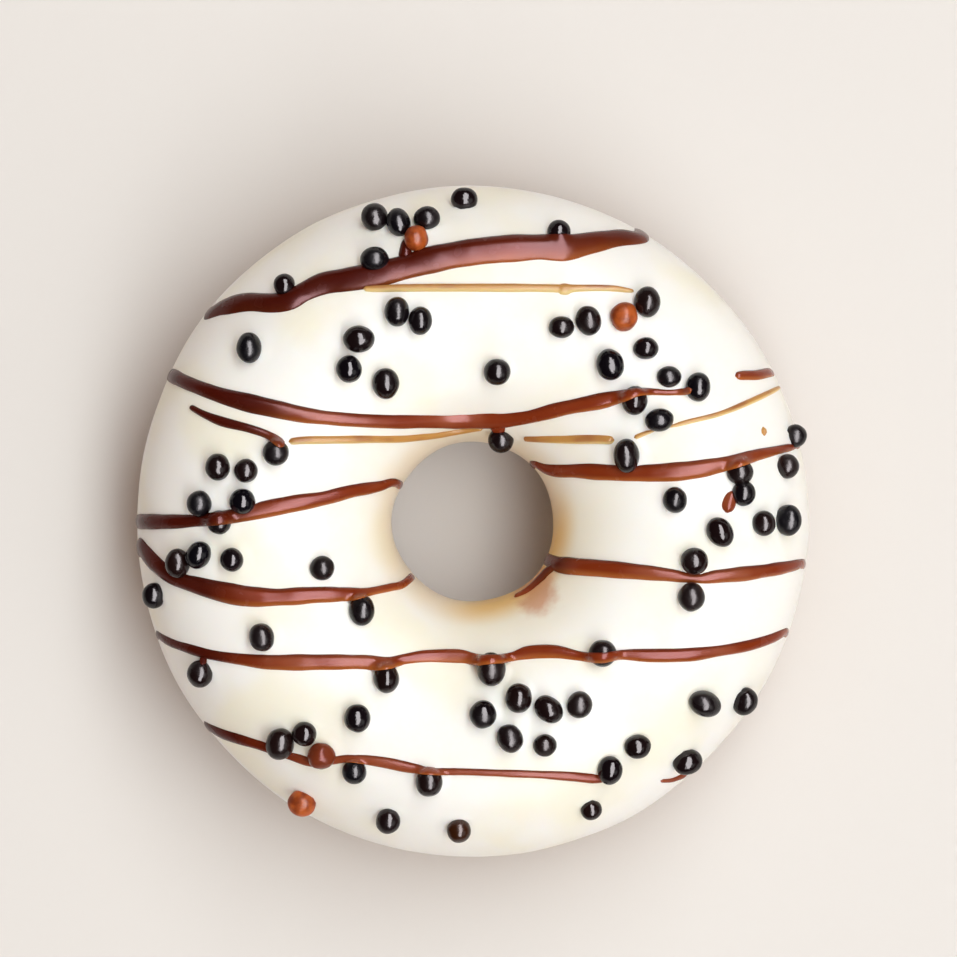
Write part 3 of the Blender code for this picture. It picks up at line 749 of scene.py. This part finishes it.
# The caramel threads. Hair-thin lines of golden caramel, drawn out between the chocolate ones from the tip
# of a spoon. They lie on the icing, and each is painted paler at its edge towards -y, as painted light.
CARAMEL_ROUTES = [
    [(-14.6, 31.2, 0.7), (-12.6, 31.2, 0.9), (-8, 31.3, 1.0), (2, 31.3, 1.1), (10.9, 31.2, 1.1),
     (11.9, 31.1, 1.5), (12.7, 31.1, 1.5), (13.8, 31.2, 1.0), (18.6, 31.2, 0.8), (21.6, 30.8, 0.5)],
    [(-24.6, 10.7, 0.9), (-22, 10.9, 1.1), (-15, 11.0, 1.0), (-8, 11.2, 0.9), (-4.5, 11.6, 0.8),
     (-1.5, 12.1, 0.7), (1.4, 12.5, 0.5)],
    [(6.9, 11.1, 0.7), (11, 11.0, 1.0), (16, 11.0, 1.2), (19, 10.9, 1.1)],
    [(21.6, 11.2, 0.7), (23.6, 12.0, 0.6), (26, 12.6, 0.5), (29, 13.4, 0.7), (33, 14.4, 0.7),
     (37, 16.0, 0.8), (41.0, 17.9, 0.6), "rim"],
    [(38.9, 12.7, 0.5), (39.1, 11.5, 0.7)],
]
CARAMEL = (0.53, 0.265, 0.07, 1)
BURNT_CARAMEL = (0.38, 0.15, 0.05, 1)
# The pale colour of a thread's edge towards -y, as painted light.
LIT_EDGE_CARAMEL = (0.87, 0.67, 0.30, 1)
FIRST_CARAMEL_SEED = 40

caramel_threads = join_threads("caramel_threads", [
    lay_thread("caramel_thread", route, seed)
    for seed, route in enumerate(CARAMEL_ROUTES, FIRST_CARAMEL_SEED)
])
caramel, shader, add, link = new_finish("golden_caramel")
burning = remapped(add, link, object_noise(add, link, 5 * MM), 0.45, 0.7)
burnt = mixed(add, link, burning, CARAMEL, BURNT_CARAMEL)
# Painted light: each caramel thread is paler at its edge towards -y.
shade_and_depth = add("Attribute", attribute_name="shade_and_depth").outputs["Fac"]
lit_caramel_edge = remapped(add, link, shade_and_depth, 0.1, -0.8, 0.0, 0.8)
link(mixed(add, link, lit_caramel_edge, burnt, LIT_EDGE_CARAMEL), shader.inputs["Base Color"])
shader.inputs["Roughness"].default_value = 0.34
shader.inputs["Specular IOR Level"].default_value = 0.15
shader.inputs["Subsurface Weight"].default_value = 0.3
shader.inputs["Subsurface Radius"].default_value = (1.0, 0.5, 0.15)
shader.inputs["Subsurface Scale"].default_value = 0.6 * MM
add_bumps(add, link, shader, [(object_noise(add, link, 0.7 * MM), 0.04 * MM, 0.5)])
caramel_threads.data.materials.append(caramel)
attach(caramel_threads, "root")


# The table that the doughnut lies on: a plain pale matt top, so wide that its edges are never seen.
TABLE_SIZE = 8.0
TABLE_DROP = 0.05 * MM  # so that the crust rests on the table and not in it
TABLE_COLOUR = (0.60, 0.57, 0.53, 1)

bpy.ops.object.select_all(action="DESELECT")
bpy.ops.mesh.primitive_plane_add(size=TABLE_SIZE, location=(0, 0, -TABLE_DROP))
bpy.ops.object.transform_apply()
table = bpy.context.object
table.name = "table_top"
table_finish, shader, add, link = new_finish("pale_table")
shader.inputs["Base Color"].default_value = TABLE_COLOUR
shader.inputs["Roughness"].default_value = 0.7
table.data.materials.append(table_finish)


# The light: a soft panel overhead, a smaller one at the lower right, which leaves the far rim in shade, and
# even light all round that the gloss doesn't mirror. A long bright panel shows only in the gloss, as glints.
OVERHEAD_PLACE = (0.52, 0, 1.72)
OVERHEAD_SIZE = (0.6, 4.0)
OVERHEAD_POWER = 38
GLINT_PLACE = (0.55, 0, 1.82)
GLINT_SIZE = (1.15, 5.5)
GLINT_POWER = 400
GLINT_COLOUR = (1.0, 0.95, 0.97)
COOL_WHITE = (0.885, 0.975, 1.0)
SIDE_PLACE = (1.35, -0.75, 1.15)
SIDE_SIZE = (1.0, 1.2)
SIDE_POWER = 4.5
WARM_WHITE = (1.0, 0.985, 0.965)
ROOM_COLOUR = (1.0, 0.83, 0.75, 1)
ROOM_STRENGTH = 0.45


def add_soft_light(name, place, size, power, colour):
    """A soft light panel that faces the doughnut, with its first side level."""
    data = bpy.data.lights.new(name, "AREA")
    data.shape = "RECTANGLE"
    data.size, data.size_y = size
    data.energy = power
    data.color = colour
    light = bpy.data.objects.new(name, data)
    away = Vector(place).normalized()
    level = Vector((0, 1, 0)).cross(away).normalized()
    turned = Matrix((level, away.cross(level), away)).transposed()
    light.matrix_world = Matrix.Translation(place) @ turned.to_4x4()
    bpy.context.collection.objects.link(light)
    return light


overhead = add_soft_light("overhead_panel", OVERHEAD_PLACE, OVERHEAD_SIZE, OVERHEAD_POWER, COOL_WHITE)
overhead.visible_glossy = False
glint = add_soft_light("glint_panel", GLINT_PLACE, GLINT_SIZE, GLINT_POWER, GLINT_COLOUR)
glint.visible_diffuse = False
add_soft_light("side_panel", SIDE_PLACE, SIDE_SIZE, SIDE_POWER, WARM_WHITE)
room = bpy.data.worlds.new("room")
room.use_nodes = True
room.node_tree.nodes["Background"].inputs["Color"].default_value = ROOM_COLOUR
room.node_tree.nodes["Background"].inputs["Strength"].default_value = ROOM_STRENGTH
room.cycles_visibility.glossy = False
bpy.context.scene.world = room
bpy.context.scene.view_settings.view_transform = "Standard"


# The camera: straight above and far off, so that it sees the ring as flat as the photograph does.
IMAGE_PIXELS = 957
RING_PIXEL = (472.5, 521.5)  # the ring's centre in the photograph, from its top left corner
RING_PIXEL_RADIUS = 335
CAMERA_HEIGHT = 4.0
SENSOR_MM = 36.0

metres_a_pixel = OUTER_RADIUS / RING_PIXEL_RADIUS
camera_data = bpy.data.cameras.new("camera")
camera_data.sensor_width = SENSOR_MM
camera_data.lens = SENSOR_MM * (CAMERA_HEIGHT - WIDEST_HEIGHT) / (IMAGE_PIXELS * metres_a_pixel)
camera = bpy.data.objects.new("camera", camera_data)
camera.location = (
    (IMAGE_PIXELS / 2 - RING_PIXEL[0]) * metres_a_pixel,
    (RING_PIXEL[1] - IMAGE_PIXELS / 2) * metres_a_pixel,
    CAMERA_HEIGHT,
)
bpy.context.collection.objects.link(camera)
bpy.context.scene.camera = camera
